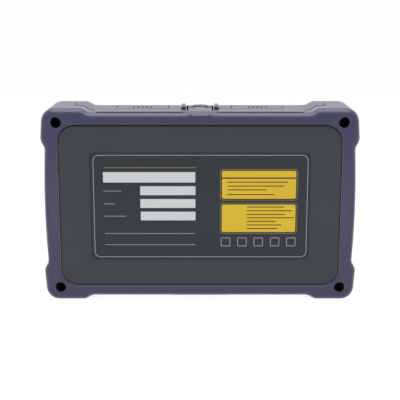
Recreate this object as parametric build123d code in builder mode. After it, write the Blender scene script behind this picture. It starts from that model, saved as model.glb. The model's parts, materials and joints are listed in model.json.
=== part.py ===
from build123d import *
import math
import os

os.makedirs("parts", exist_ok=True)

# Outer form of the rubber boot
body_width = 170.2
body_height = 103.6
case_depth = 41.0
bump_rise = 2.3
bump_taper = 1.25
bump_length = 18.5
bump_height = 12.85
top_run = 8.1
side_run = 9.1
side_bow = 1.0
corner_radius = 7.4
edge_radius = 4.0
hump_rise = 0.9
hump_top_half = 4.2
hump_base_half = 8.3
hood_rise = 0.65
hood_top_half = 2.0
hood_base_half = 5.6
facet_run = 2.1
facet_drop = 2.2
foot_pad_length = 38.0
foot_pad_rise = 0.3
foot_land_rise = 0.3
foot_land_margin = 1.5

# Walls and fits
boot_wall = 3.6
lip_thickness = 2.2
lip_round = 0.7
shell_wall = 2.4
boot_fit = 0.1
panel_gap = 0.5
panel_drop = 0.6
panel_round = 0.6
root_bite = 0.4
seat_fit = 0.15
hollow_radius = 13.0
seal_width = 1.0
seal_inset = 0.7
gasket_depth = 1.0
moving_gap = 0.3
thread_fit = 0.05
hole_fit = 0.1

# Back panel and label
panel_side_rim = 7.7
panel_end_rim = 7.0
panel_radius = 9.2
label_side_margin = 16.9
label_end_margin = 14.6
label_radius = 3.0
label_pocket = 0.5
label_thickness = 0.35

# Case screws
screw_side_inset = 6.8
screw_end_inset = 5.3
well_radius = 3.1
screw_radius = 1.45
screw_head_radius = 2.75
screw_head_height = 2.4
screw_seat = 4.0
screw_length = 14.0
screw_play = 0.25
cross_length = 3.2
cross_width = 0.8
cross_depth = 1.2
insert_radius = 2.1
insert_length = 8.0

# Port covers
cover_proud = 0.1
cover_thickness = 2.4
cover_rim = 1.3
cover_land_drop = 0.4
cover_inner_end = 7.7
cover_end_gap = 1.2
cover_corner = 1.6
ramp_gap = 0.5
tongue_half_width = 7.7
tongue_tip_half = 2.8
tongue_reach = 3.3
tongue_root = 4.0
tongue_corner = 0.6
cover_gap = 0.4
tongue_gap = 1.2
fin_width = 2.7
fin_inset = 0.1
fin_half_length = 6.4
fin_rise = 2.2
cover_window_length = 30.5
cover_window_width = 15.0
cover_window_depth = 0.5
cover_window_line = 1.0
cover_window_shift = 2.0
cover_window_setback = 4.5
grip_groove_count = 5
grip_groove_length = 6.0
grip_groove_width = 1.1
grip_groove_pitch = 2.4
pin_radius = 0.5
pin_play = 0.06
pin_bite = 2.4

# Port bays under the covers
bay_inner = 14.0
cover_lap = 3.0
cover_side_lap = 4.2
bay_depth = 10.6
bay_wall = 2.0
bay_radius = 2.0
plate_thickness = 2.0
plate_ledge = 1.0
seal_rib_width = 1.2
seal_rib_drop = 2.4
seal_rib_gap = 0.7
port_end_gap = 1.5
port_flange_gap = 2.2
barrel_radius = 4.0
barrel_rise = 6.4
barrel_edge = 0.4
port_flange_height = 1.2
port_tail = 7.0
sleeve_outer = 1.6
sleeve_floor = 1.0
ferrule_radius = 1.25
port_mouth_radius = 2.6
port_mouth_depth = 3.6
key_slot_width = 1.6
usb_a_width = 13.1
usb_a_height = 5.7
usb_a_corner = 0.6
usb_a_tongue = 1.8
usb_c_width = 8.9
usb_c_height = 3.3
usb_c_tongue = 0.7
usb_tongue_side = 1.1
usb_skin = 0.35
usb_floor = 1.0
usb_length = 12.0

# Torch
torch_radius = 5.7
torch_opening = 4.7
torch_lip = 0.7
torch_rise = 1.2
torch_length = 8.0
torch_edge = 0.35
torch_flange_radius = 6.9
torch_flange_height = 1.2
torch_notch_count = 12
torch_notch_width = 1.0
torch_notch_depth = 0.8
torch_block = 9.2
lens_thickness = 1.6
lens_dome = 0.8
lens_drop = 0.1
torch_board_radius = 5.0
torch_board_thickness = 1.0
led_size = 3.4
led_height = 1.5
wire_hole_radius = 2.0

# Display on the front
glass_side_margin = 4.4
glass_end_margin = 8.8
glass_key_gap = 6.0
glass_radius = 4.0
glass_thickness = 1.6
glass_edge = 0.25
glass_gasket_thickness = 0.2
glass_gasket_width = 2.5
view_side_border = 5.0
view_end_border = 7.0
lcd_side_inset = 1.3
lcd_end_inset = 2.5
lcd_thickness = 4.2
lcd_frame_thickness = 1.2
lcd_frame_width = 5.0
lcd_frame_corner = 2.0
lcd_lug = 6.6
lcd_post_radius = 2.4
lcd_post_inset = 8.5
small_screw_radius = 0.9
small_screw_fit = 0.03
small_screw_head = 1.8
small_screw_head_height = 1.0
small_screw_grip = 3.0
small_screw_end_gap = 0.4

# Keys on the front
key_column_inset = 28.1
pad_split = 2.4
ok_gap = 2.4
pad_corner = 0.8
side_key_width = 14.0
side_key_corner = 2.5
side_key_spread = 9.0
side_key_gap = 0.5
key_proud = 0.4
key_play = 0.25
key_flange = 0.9
key_flange_thickness = 1.0
key_travel = 0.5
key_stem_radius = 1.5
key_stem_length = 0.7
key_edge = 0.4
switch_size = 5.2
switch_height = 1.5
switch_gap = 0.1
plunger_radius = 1.4
plunger_height = 0.4
key_board_width = 32.0
key_board_end_gap = 7.85
key_board_thickness = 1.2
key_post_radius = 2.2
key_post_side_inset = 2.4
key_post_end_inset = 3.4
pipe_radius = 1.1
pipe_spread = 4.0
pipe_end_inset = 2.0

# Inside
board_side_gap = 20.1
board_low_gap = 0.6
board_high_gap = 1.0
board_front_gap = 2.1
board_corner = 2.0
main_board_thickness = 1.6
board_hole_inset = 4.0
board_screw_radius = 1.1
board_screw_head = 2.2
board_screw_head_height = 1.5
board_screw_grip = 4.0
board_screw_end_gap = 0.3
board_post_radius = 3.0
engine_gap = 3.4
engine_top_gap = 3.0
engine_corner = 2.0
engine_edge = 0.8
spool_top_gap = 7.0
spool_flange = 1.0
coil_gap = 2.0
can_height = 3.0
can_corner = 1.0
battery_thickness = 7.0
battery_low_gap = 2.0
battery_corner = 3.0
battery_edge = 1.5
pad_thickness = 0.5
buzzer_radius = 5.0
buzzer_mouth = 1.0
flex_width = 18.0
flex_height = 8.0
flex_thickness = 0.2

# The boot's own sizes that follow
half_width = body_width / 2
half_height = body_height / 2
half_depth = case_depth / 2
overall_height = body_height + 2 * bump_rise
middle_z = overall_height / 2
top_z = middle_z + half_height
bump_top_z = overall_height
top_ramp_end = half_width - bump_length
top_ramp_start = top_ramp_end - top_run
side_ramp_end = half_height - bump_height
side_ramp_start = side_ramp_end - side_run
short_run = min(top_run, side_run)
shoulder_radius = 0.75 * (short_run ** 2 + bump_rise ** 2) / (4 * bump_rise)
hump_top_z = top_z + hump_rise - boot_fit
land_inner = top_ramp_end
land_outer = half_width + bump_rise - bump_taper - corner_radius - foot_land_margin
land_middle = (land_inner + land_outer) / 2
land_length = land_outer - land_inner
land_width = case_depth - 2 * edge_radius - 2 * foot_land_margin
shoulder_y = half_depth - lip_thickness
panel_y = half_depth - panel_drop
rear_inner_y = panel_y - shell_wall
front_inner_y = -rear_inner_y
shell_top_z = top_z - boot_wall
hollow_width = body_width - 2 * (boot_wall + shell_wall)
hollow_height = body_height - 2 * (boot_wall + shell_wall)
hollow_low_z = middle_z - hollow_height / 2

# Back panel, label and screws that follow
panel_width = body_width - 2 * panel_side_rim
panel_height = body_height - 2 * panel_end_rim
label_width = panel_width - 2 * label_side_margin
label_height = panel_height - 2 * label_end_margin
screw_x = half_width - screw_side_inset
screw_z = half_height - screw_end_inset

# Covers and bays that follow
cover_half_width = half_depth - edge_radius - cover_rim
cover_outer_end = top_ramp_start - ramp_gap
cover_middle = (cover_inner_end + cover_outer_end) / 2
cover_length = cover_outer_end - cover_inner_end
land_y = cover_half_width + edge_radius / 2
tongue_tip = top_ramp_end + tongue_reach
bay_half_width = cover_half_width - cover_side_lap
bay_outer = cover_outer_end - cover_lap
bay_floor_z = top_z - bay_depth
bay_middle = (bay_inner + bay_outer) / 2
bay_length = bay_outer - bay_inner
bay_block_base = bay_floor_z - plate_thickness - plate_ledge
cover_top_z = top_z + cover_proud
cover_under = cover_thickness - cover_proud
bead_radius = cover_thickness / 2
hinge_x = tongue_tip - bead_radius
hinge_z = bump_top_z + cover_proud - bead_radius
pin_half_length = tongue_tip_half + tongue_gap + pin_bite
optical_port_pitch = (bay_length - 2 * port_end_gap + port_flange_gap) / 3
port_flange_radius = (optical_port_pitch - port_flange_gap) / 2
torch_top_z = top_z + torch_rise
torch_base_z = torch_top_z - torch_length

# Display and keys that follow
key_column = half_width - key_column_inset
key_board_height = hollow_height - 2 * key_board_end_gap
key_post_spread = key_board_width / 2 - key_post_side_inset
key_post_level = key_board_height / 2 - key_post_end_inset
pipe_level = key_board_height / 2 - pipe_end_inset
side_key_height = 0.105 * key_board_height
side_key_level = key_post_level - key_post_radius - key_flange - side_key_gap - side_key_height / 2
pad_radius = 0.197 * key_board_height
pad_hole_radius = 0.49 * pad_radius
ok_radius = pad_hole_radius - ok_gap
key_reach = moving_gap + key_flange_thickness + key_stem_length + key_travel
key_board_front = front_inner_y + key_reach + switch_gap + switch_height + plunger_height
key_board_rear = key_board_front + key_board_thickness
glass_left = glass_side_margin - panel_width / 2
glass_right = key_column - key_board_width / 2 - glass_key_gap
glass_width = glass_right - glass_left
glass_offset = (glass_left + glass_right) / 2
glass_height = panel_height - 2 * glass_end_margin
view_width = glass_width - 2 * view_side_border
view_height = glass_height - 2 * view_end_border
lcd_width = glass_width - 2 * lcd_side_inset
lcd_height = glass_height - 2 * lcd_end_inset
lcd_post_level = lcd_height / 2 - lcd_post_inset
lcd_rear_y = front_inner_y + lcd_thickness
frame_rear_y = lcd_rear_y + lcd_frame_thickness

# Boards and battery that follow
main_board_width = hollow_width - 2 * board_side_gap
board_low_z = hollow_low_z + board_low_gap
board_high_z = bay_floor_z - usb_length - board_high_gap
main_board_height = board_high_z - board_low_z
main_board_level = (board_low_z + board_high_z) / 2
main_board_front = frame_rear_y + small_screw_head_height + can_height + board_front_gap
main_board_rear = main_board_front + main_board_thickness
battery_front_y = rear_inner_y - pad_thickness - battery_thickness
battery_width = 0.78 * main_board_width
battery_height = 0.76 * main_board_height
battery_level = board_low_z + battery_low_gap + battery_height / 2
engine_width = 0.44 * main_board_width
engine_height = 0.474 * main_board_height
engine_depth = battery_front_y - engine_gap - main_board_rear
engine_x = -0.2034 * main_board_width
engine_level = board_high_z - engine_top_gap - engine_height / 2
spool_radius = 0.2105 * main_board_height
spool_hub = 0.625 * spool_radius
spool_depth = 0.636 * engine_depth
spool_x = 0.2373 * main_board_width
spool_level = board_high_z - spool_top_gap - spool_radius
buzzer_height = 0.36 * engine_depth

# Upright plane through the middle of the case, looking at its front
face = Plane((0, 0, middle_z), x_dir=(1, 0, 0), z_dir=(0, -1, 0))


def at_y(y):
    """Upright plane at a given depth; a positive extrusion runs to the front."""
    return face.offset(-y)


def save(builder, name):
    builder.part.label = name
    export_step(builder.part, "parts/" + name + ".step")


def boot_outline(rise, top_half, base_half):
    """Outline of the boot from the front, with a bell-shaped hump in the middle of the top."""
    ramp_low = top_ramp_start + 0.27 * top_run
    ramp_high = top_ramp_end - 0.27 * top_run
    rise_low = side_ramp_start + 0.27 * side_run
    rise_high = side_ramp_end - 0.27 * side_run
    corner_x = half_width + bump_rise - bump_taper
    edge = [
        (ramp_low, half_height),
        (ramp_high, half_height + bump_rise),
        (corner_x, half_height + bump_rise),
        (half_width + bump_rise, rise_high),
        (half_width, rise_low),
    ]
    crown = [(0, half_height)]
    if rise > 0:
        crown = [(0, half_height + rise), (top_half, half_height + rise), (base_half, half_height)]
    with BuildSketch() as outline:
        with BuildLine():
            Polyline(*crown, *edge)
            lower = [(x, -z) for x, z in edge]
            Polyline((0, -half_height), *lower)
            ThreePointArc(edge[-1], (half_width + side_bow, 0), lower[-1])
            mirror(about=Plane.YZ)
        make_face()
        sharp = [v for v in outline.vertices() if ramp_low - 1 < abs(v.X)]
        shoulders = [v for v in sharp if abs(abs(v.X) - corner_x) >= 0.01]
        fillet(shoulders, shoulder_radius)
        corners = [v for v in outline.vertices() if abs(abs(v.X) - corner_x) < 0.01]
        corners = [v for v in corners if abs(abs(v.Y) - half_height - bump_rise) < 0.01]
        fillet(corners, corner_radius)
        if rise > 0:
            run = base_half - top_half
            bell = [v for v in outline.vertices() if 0.5 < abs(v.X) < base_half + 0.5 and v.Y > 0]
            fillet(bell, 0.42 * math.hypot(run, rise) / math.tan(math.atan2(rise, run) / 2))
    return outline.sketch


plain_outline = boot_outline(0, 0, 0)
hump_outline = boot_outline(hump_rise, hump_top_half, hump_base_half)
hood_outline = boot_outline(hood_rise, hood_top_half, hood_base_half)
shell_outline = offset(plain_outline, amount=-boot_wall)
cavity_outline = offset(plain_outline, amount=-boot_wall + boot_fit)
cover_top_outline = offset(plain_outline, amount=cover_proud)
cover_low_outline = offset(plain_outline, amount=-cover_under)
seat_low_outline = offset(plain_outline, amount=-cover_under - moving_gap)
seat_high_outline = offset(plain_outline, amount=boot_wall)
screw_places = [(sx * screw_x, sz * screw_z) for sx in (-1, 1) for sz in (-1, 1)]


def cover_plan(side, margin, inner_margin, tongue_margin):
    """Plan of a port cover: a long body with a strap that tapers to its outer end."""
    half = cover_half_width + margin
    start = cover_inner_end - inner_margin
    end = cover_outer_end + margin
    root_half = tongue_half_width + tongue_margin
    tip_half = tongue_tip_half + tongue_margin
    strap_end = tongue_tip + margin
    strap_start = cover_outer_end - tongue_root
    with BuildSketch() as plan:
        with Locations((side * (start + end) / 2, 0)):
            RectangleRounded(end - start, 2 * half, cover_corner)
        with BuildLine():
            Polyline(
                (side * strap_start, -root_half),
                (side * strap_end, -tip_half),
                (side * strap_end, tip_half),
                (side * strap_start, root_half),
                close=True,
            )
        make_face()
        fillet([v for v in plan.vertices() if abs(abs(v.X) - strap_end) < 0.01], tongue_corner)
    return plan.sketch


# Cutting body for the seat of each cover in the boot
def seat_body(side):
    with BuildPart() as seat:
        with BuildSketch(at_y(half_depth)):
            add(seat_high_outline)
            add(seat_low_outline, mode=Mode.SUBTRACT)
            with Locations((side * (half_width / 2), half_height)):
                Rectangle(half_width, 4 * boot_wall, mode=Mode.INTERSECT)
        extrude(amount=case_depth)
        with BuildSketch(Plane.XY.offset(top_z - 2 * boot_wall)):
            add(cover_plan(side, cover_gap, cover_end_gap, tongue_gap))
        extrude(amount=6 * boot_wall, mode=Mode.INTERSECT)
    return seat.part


seat_left = seat_body(-1)
seat_right = seat_body(1)

# Rubber boot round the whole case
with BuildPart() as boot:
    with BuildSketch(at_y(half_depth)):
        add(hump_outline)
    extrude(amount=half_depth)
    fillet(boot.faces().sort_by(Axis.Y)[-1].outer_wire().edges(), edge_radius)
    with BuildSketch(at_y(0)):
        add(hood_outline)
    extrude(amount=half_depth)
    fillet(boot.faces().sort_by(Axis.Y)[0].outer_wire().edges(), edge_radius)
    # block that carries the hump over the rounded edge, with a slanted facet at its top
    with BuildSketch(Plane.YZ.offset(-hump_top_half)):
        with BuildLine():
            Polyline(
                (half_depth - edge_radius, hump_top_z),
                (half_depth - facet_run, hump_top_z),
                (half_depth, hump_top_z - facet_drop),
                (half_depth, top_z - edge_radius),
                (half_depth - edge_radius, top_z - edge_radius),
                close=True,
            )
        make_face()
    extrude(amount=2 * hump_top_half)
    # low pad in the middle of the bottom edge
    with BuildSketch(Plane.XY.offset(bump_rise - foot_pad_rise)):
        RectangleRounded(foot_pad_length, case_depth - 2 * edge_radius, edge_radius)
    extrude(amount=foot_pad_rise + root_bite)
    # edges of the lower bumps step back from the flat lands that the case stands on
    with BuildSketch(Plane.XY):
        Rectangle(2 * body_width, 2 * case_depth)
        with Locations((-land_middle, 0), (land_middle, 0)):
            Rectangle(land_length, land_width, mode=Mode.SUBTRACT)
    extrude(amount=foot_land_rise, mode=Mode.SUBTRACT)
    with BuildSketch(at_y(shoulder_y)):
        add(cavity_outline)
    extrude(amount=2 * shoulder_y, mode=Mode.SUBTRACT)
    with BuildSketch(at_y(half_depth)):
        RectangleRounded(panel_width + 2 * panel_gap, panel_height + 2 * panel_gap, panel_radius + panel_gap)
    extrude(amount=case_depth, mode=Mode.SUBTRACT)
    fillet(boot.faces().sort_by(Axis.Y)[-1].inner_wires()[0].edges(), lip_round)
    fillet(boot.faces().sort_by(Axis.Y)[0].inner_wires()[0].edges(), lip_round)
    with BuildSketch(at_y(half_depth)):
        with Locations(*screw_places):
            Circle(well_radius)
    extrude(amount=2 * lip_thickness, mode=Mode.SUBTRACT)
    add(seat_left, mode=Mode.SUBTRACT)
    add(seat_right, mode=Mode.SUBTRACT)
    # land beside the long edges of the covers, a step lower than they are
    with BuildSketch(Plane.XY.offset(top_z - cover_land_drop)):
        with Locations((0, -land_y)):
            Rectangle(2 * (cover_outer_end - cover_corner), edge_radius)
        with Locations((-cover_middle, land_y), (cover_middle, land_y)):
            Rectangle(cover_length - 2 * cover_corner, edge_radius)
    extrude(amount=boot_wall, mode=Mode.SUBTRACT)
    with BuildSketch(Plane.XY.offset(shell_top_z - panel_gap)):
        with Locations((-bay_middle, 0), (bay_middle, 0)):
            RectangleRounded(bay_length, 2 * bay_half_width, bay_radius)
        Circle(torch_radius + seat_fit)
    extrude(amount=3 * boot_wall, mode=Mode.SUBTRACT)
    for side in (-1, 1):
        with BuildSketch(Plane.XZ):
            with Locations((side * hinge_x, hinge_z)):
                Circle(pin_radius)
        extrude(amount=pin_half_length, both=True, mode=Mode.SUBTRACT)
save(boot, "rubber_boot")

# Pins that the covers swing on
with BuildPart() as hinge_pins:
    with BuildSketch(Plane.XZ):
        with Locations((-hinge_x, hinge_z), (hinge_x, hinge_z)):
            Circle(pin_radius)
    extrude(amount=pin_half_length, both=True)
save(hinge_pins, "cover_hinge_pins")


def pull_fin(side):
    """Round-edged fin at the inner end of a cover, to lift it by."""
    foot = cover_top_z - cover_thickness / 2
    with BuildPart() as fin:
        with BuildSketch(Plane.XY.offset(foot)):
            with Locations((side * (cover_inner_end + fin_inset + fin_width / 2), 0)):
                RectangleRounded(fin_width, 2 * fin_half_length, 0.45 * fin_width)
        extrude(amount=top_z + fin_rise - foot)
        fillet(fin.faces().sort_by(Axis.Z)[-1].edges(), 0.35 * fin_width)
    return fin.part


def port_cover(side, name):
    rib_inner = bay_inner + seal_rib_gap
    rib_outer = bay_outer - moving_gap
    rib_half = bay_half_width - moving_gap
    rib_middle = side * (rib_inner + rib_outer) / 2
    rib_length = rib_outer - rib_inner
    window_middle = side * (bay_middle - cover_window_shift)
    with BuildPart() as cover:
        with BuildSketch(at_y(half_depth)):
            add(cover_top_outline)
            add(cover_low_outline, mode=Mode.SUBTRACT)
            with Locations((side * hinge_x / 2, half_height)):
                Rectangle(hinge_x, 4 * boot_wall, mode=Mode.INTERSECT)
        extrude(amount=case_depth)
        with BuildSketch(Plane.XZ):
            with Locations((side * hinge_x, hinge_z)):
                Circle(bead_radius)
        extrude(amount=tongue_half_width, both=True)
        with BuildSketch(Plane.XY.offset(top_z - 2 * boot_wall)):
            add(cover_plan(side, 0, 0, 0))
        extrude(amount=6 * boot_wall, mode=Mode.INTERSECT)
        # frame line sunk in the top, with grip grooves across its middle
        with BuildSketch(Plane.XY.offset(cover_top_z - cover_window_depth)):
            with Locations((window_middle, -cover_window_setback)):
                RectangleRounded(cover_window_length, cover_window_width, bay_radius)
                RectangleRounded(
                    cover_window_length - 2 * cover_window_line,
                    cover_window_width - 2 * cover_window_line,
                    bay_radius - cover_window_line,
                    mode=Mode.SUBTRACT,
                )
                with GridLocations(grip_groove_pitch, 1, grip_groove_count, 1):
                    SlotOverall(grip_groove_length, grip_groove_width, rotation=90)
        extrude(amount=cover_thickness, mode=Mode.SUBTRACT)
        add(pull_fin(side))
        # seal rib that drops into the bay
        with BuildSketch(Plane.XY.offset(cover_top_z - cover_thickness - seal_rib_drop)):
            with Locations((rib_middle, 0)):
                RectangleRounded(rib_length, 2 * rib_half, bay_radius)
                RectangleRounded(
                    rib_length - 2 * seal_rib_width,
                    2 * rib_half - 2 * seal_rib_width,
                    bay_radius - seal_rib_width / 2,
                    mode=Mode.SUBTRACT,
                )
        extrude(amount=seal_rib_drop + root_bite)
        with BuildSketch(Plane.XZ):
            with Locations((side * hinge_x, hinge_z)):
                Circle(pin_radius + pin_play)
        extrude(amount=case_depth, both=True, mode=Mode.SUBTRACT)
    save(cover, name)


port_cover(-1, "left_port_cover")
port_cover(1, "right_port_cover")


def bay_blocks():
    """Walls round the port bays and the torch, drawn from the front."""
    height = shell_top_z - bay_block_base
    level = bay_block_base - middle_z
    low_middle = (Align.CENTER, Align.MIN)
    with BuildSketch() as walls:
        with Locations((-bay_middle, level), (bay_middle, level)):
            Rectangle(bay_length + 2 * bay_wall, height, align=low_middle)
        with Locations((0, level)):
            Rectangle(2 * torch_block, height, align=low_middle)
    return walls.sketch


def bay_hollows():
    """Space cut out of both shell halves for the bays, their plates and the torch."""
    with BuildPart() as hollow:
        with BuildSketch(Plane.XY.offset(bay_block_base - plate_ledge)):
            with Locations((-bay_middle, 0), (bay_middle, 0)):
                RectangleRounded(bay_length, 2 * bay_half_width, bay_radius)
            Circle(wire_hole_radius)
        extrude(amount=shell_top_z - bay_block_base + 2 * plate_ledge)
        with BuildSketch(Plane.XY.offset(bay_floor_z - plate_thickness)):
            with Locations((-bay_middle, 0), (bay_middle, 0)):
                Rectangle(bay_length + bay_wall, 2 * bay_half_width + bay_wall)
        extrude(amount=plate_thickness)
        with BuildSketch(Plane.XY.offset(torch_base_z - torch_board_thickness)):
            Circle(torch_board_radius + seat_fit)
        extrude(amount=torch_length)
        with BuildSketch(Plane.XY.offset(torch_base_z)):
            Circle(torch_radius + seat_fit)
        extrude(amount=torch_length + torch_rise)
        with BuildSketch(Plane.XY.offset(torch_base_z)):
            Circle(torch_flange_radius + seat_fit)
        extrude(amount=torch_flange_height + seat_fit)
    return hollow.part


bay_hollow = bay_hollows()


def ring_outline(margin):
    """Rounded outline round the hollow of the shells, at a margin from it."""
    with BuildSketch() as ring:
        RectangleRounded(hollow_width + 2 * margin, hollow_height + 2 * margin, hollow_radius + margin)
    return ring.sketch


inner_outline = ring_outline(0)
gasket_inner = ring_outline(seal_inset)
gasket_outer = ring_outline(seal_inset + seal_width)
board_x = main_board_width / 2 - board_hole_inset
board_z = main_board_height / 2 - board_hole_inset
board_drop = main_board_level - middle_z
board_places = [(sx * board_x, board_drop + sz * board_z) for sx in (-1, 1) for sz in (-1, 1)]

# Rear half of the hard shell, with the raised back panel
with BuildPart() as rear_shell:
    with BuildSketch(at_y(shoulder_y)):
        add(shell_outline)
    extrude(amount=shoulder_y)
    with BuildSketch(at_y(panel_y)):
        RectangleRounded(panel_width, panel_height, panel_radius)
    extrude(amount=panel_y - shoulder_y + root_bite)
    fillet(rear_shell.faces().sort_by(Axis.Y)[-1].outer_wire().edges(), panel_round)
    with BuildSketch(at_y(rear_inner_y)):
        add(inner_outline)
    extrude(amount=rear_inner_y, mode=Mode.SUBTRACT)
    with BuildSketch(at_y(rear_inner_y + root_bite)):
        with Locations(*board_places):
            Circle(board_post_radius)
    extrude(amount=rear_inner_y + root_bite - main_board_rear)
    with BuildSketch(at_y(main_board_rear)):
        with Locations(*board_places):
            Circle(board_screw_radius)
    extrude(amount=-board_screw_grip, mode=Mode.SUBTRACT)
    with BuildSketch(at_y(bay_half_width + bay_wall)):
        add(bay_blocks())
    extrude(amount=bay_half_width + bay_wall)
    with BuildSketch(at_y(half_depth)):
        with Locations(*screw_places):
            Circle(well_radius)
    extrude(amount=half_depth - screw_seat, mode=Mode.SUBTRACT)
    with BuildSketch(at_y(half_depth)):
        with Locations(*screw_places):
            Circle(screw_radius + screw_play)
    extrude(amount=half_depth, mode=Mode.SUBTRACT)
    with BuildSketch(at_y(panel_y)):
        RectangleRounded(label_width, label_height, label_radius)
    extrude(amount=label_pocket, mode=Mode.SUBTRACT)
    add(bay_hollow, mode=Mode.SUBTRACT)
    with BuildSketch(at_y(gasket_depth)):
        add(gasket_outer)
        add(gasket_inner, mode=Mode.SUBTRACT)
    extrude(amount=gasket_depth, mode=Mode.SUBTRACT)
save(rear_shell, "rear_shell")

# Keys: name, middle of the key across and up from the case middle, and its outline
arrow_turn = {"key_right": 0, "key_up": 90, "key_left": 180, "key_down": 270}
side_key_places = {
    "key_back": (-side_key_spread, side_key_level),
    "key_menu": (side_key_spread, side_key_level),
    "key_power": (-side_key_spread, -side_key_level),
    "key_test": (side_key_spread, -side_key_level),
}


def arrow_outline(turn):
    """One quarter of the round pad, about the middle of the pad."""
    reach = 2 * pad_radius
    with BuildSketch() as quarter:
        Circle(pad_radius)
        Circle(pad_hole_radius, mode=Mode.SUBTRACT)
        tip = pad_split / math.sqrt(2)
        with BuildLine(mode=Mode.PRIVATE) as wedge:
            Polyline((tip, 0), (tip + reach, reach), (tip + reach, -reach), close=True)
        make_face(wedge.edges(), mode=Mode.INTERSECT)
        fillet(quarter.vertices(), pad_corner)
    return quarter.sketch.rotate(Axis.Z, turn).moved(Location((key_column, 0, 0)))


def side_key_outline(place):
    with BuildSketch() as outline:
        with Locations((key_column + place[0], place[1])):
            RectangleRounded(side_key_width, side_key_height, side_key_corner)
    return outline.sketch


with BuildSketch() as ok_circle:
    with Locations((key_column, 0)):
        Circle(ok_radius)

key_outlines = {name: arrow_outline(turn) for name, turn in arrow_turn.items()}
key_outlines.update({name: side_key_outline(place) for name, place in side_key_places.items()})
key_outlines["key_ok"] = ok_circle.sketch
key_holes = {name: offset(shape, amount=key_play) for name, shape in key_outlines.items()}
key_flanges = {name: offset(shape, amount=key_flange) for name, shape in key_outlines.items()}
stem_places = {name: (key_column + p[0], p[1]) for name, p in side_key_places.items()}
stem_places["key_ok"] = (key_column, 0)
arrow_reach = (pad_radius + pad_hole_radius) / 2
for name, turn in arrow_turn.items():
    angle = math.radians(turn)
    stem_places[name] = (key_column + arrow_reach * math.cos(angle), arrow_reach * math.sin(angle))

lcd_post_x = lcd_width / 2 + lcd_lug - lcd_post_radius - root_bite
lcd_places = [(glass_offset + sx * lcd_post_x, sz * lcd_post_level) for sx in (-1, 1) for sz in (-1, 1)]
key_posts = [(key_column + sx * key_post_spread, sz * key_post_level) for sx in (-1, 1) for sz in (-1, 1)]
pipe_places = [(key_column - pipe_spread, pipe_level), (key_column + pipe_spread, pipe_level)]

# Front half of the hard shell, with the display window and the key holes
with BuildPart() as front_shell:
    with BuildSketch(at_y(0)):
        add(shell_outline)
    extrude(amount=shoulder_y)
    with BuildSketch(at_y(root_bite - shoulder_y)):
        RectangleRounded(panel_width, panel_height, panel_radius)
    extrude(amount=panel_y - shoulder_y + root_bite)
    fillet(front_shell.faces().sort_by(Axis.Y)[0].outer_wire().edges(), panel_round)
    with BuildSketch(at_y(0)):
        add(inner_outline)
    extrude(amount=rear_inner_y, mode=Mode.SUBTRACT)
    with BuildSketch(at_y(0)):
        add(bay_blocks())
    extrude(amount=bay_half_width + bay_wall)
    with BuildSketch(at_y(lcd_rear_y)):
        with Locations(*lcd_places):
            Circle(lcd_post_radius)
    extrude(amount=lcd_thickness + root_bite)
    with BuildSketch(at_y(key_board_front)):
        with Locations(*key_posts):
            Circle(key_post_radius)
    extrude(amount=key_board_front - front_inner_y + root_bite)
    with BuildSketch(at_y(lcd_rear_y)):
        with Locations(*lcd_places):
            Circle(small_screw_radius)
    extrude(amount=small_screw_grip, mode=Mode.SUBTRACT)
    with BuildSketch(at_y(key_board_front)):
        with Locations(*key_posts):
            Circle(small_screw_radius)
    extrude(amount=small_screw_grip, mode=Mode.SUBTRACT)
    with BuildSketch(at_y(0)):
        with Locations(*screw_places):
            Circle(insert_radius)
    extrude(amount=screw_length - screw_seat + screw_radius, mode=Mode.SUBTRACT)
    with BuildSketch(at_y(-panel_y)):
        with Locations((glass_offset, 0)):
            RectangleRounded(glass_width + 2 * seat_fit, glass_height + 2 * seat_fit, glass_radius)
    extrude(amount=-glass_thickness - glass_gasket_thickness, mode=Mode.SUBTRACT)
    with BuildSketch(at_y(-panel_y)):
        with Locations((glass_offset, 0)):
            Rectangle(view_width, view_height)
        for shape in key_holes.values():
            add(shape)
        with Locations(*pipe_places):
            Circle(pipe_radius)
    extrude(amount=-shell_wall - root_bite, mode=Mode.SUBTRACT)
    add(bay_hollow, mode=Mode.SUBTRACT)
save(front_shell, "front_shell")

# Seal between the shell halves, open where the bays and the torch cross it
with BuildPart() as shell_gasket:
    with BuildSketch(at_y(gasket_depth)):
        add(gasket_outer)
        add(gasket_inner, mode=Mode.SUBTRACT)
        with Locations((0, shell_top_z - middle_z)):
            Rectangle(2 * (bay_outer + 2 * bay_wall), 4 * shell_wall, mode=Mode.SUBTRACT)
    extrude(amount=gasket_depth)
save(shell_gasket, "shell_gasket")

# Label plate in its pocket on the back
with BuildPart() as rear_label:
    with BuildSketch(at_y(panel_y - label_pocket + label_thickness)):
        RectangleRounded(label_width - 2 * seat_fit, label_height - 2 * seat_fit, label_radius - seat_fit)
    extrude(amount=label_thickness)
save(rear_label, "rear_label")

# Four case screws with cross recesses, at the floor of the wells
with BuildPart() as case_screws:
    with BuildSketch(at_y(screw_seat + screw_head_height)):
        with Locations(*screw_places):
            Circle(screw_head_radius)
    extrude(amount=screw_head_height)
    with BuildSketch(at_y(screw_seat)):
        with Locations(*screw_places):
            Circle(screw_radius)
    extrude(amount=screw_length)
    with BuildSketch(at_y(screw_seat + screw_head_height)):
        with Locations(*screw_places):
            Rectangle(cross_length, cross_width)
            Rectangle(cross_width, cross_length)
    extrude(amount=cross_depth, mode=Mode.SUBTRACT)
save(case_screws, "case_screws")

# Brass inserts that the case screws bite in
with BuildPart() as screw_inserts:
    with BuildSketch(at_y(0)):
        with Locations(*screw_places):
            Circle(insert_radius)
            Circle(screw_radius + thread_fit, mode=Mode.SUBTRACT)
    extrude(amount=insert_length)
save(screw_inserts, "screw_inserts")

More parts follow.
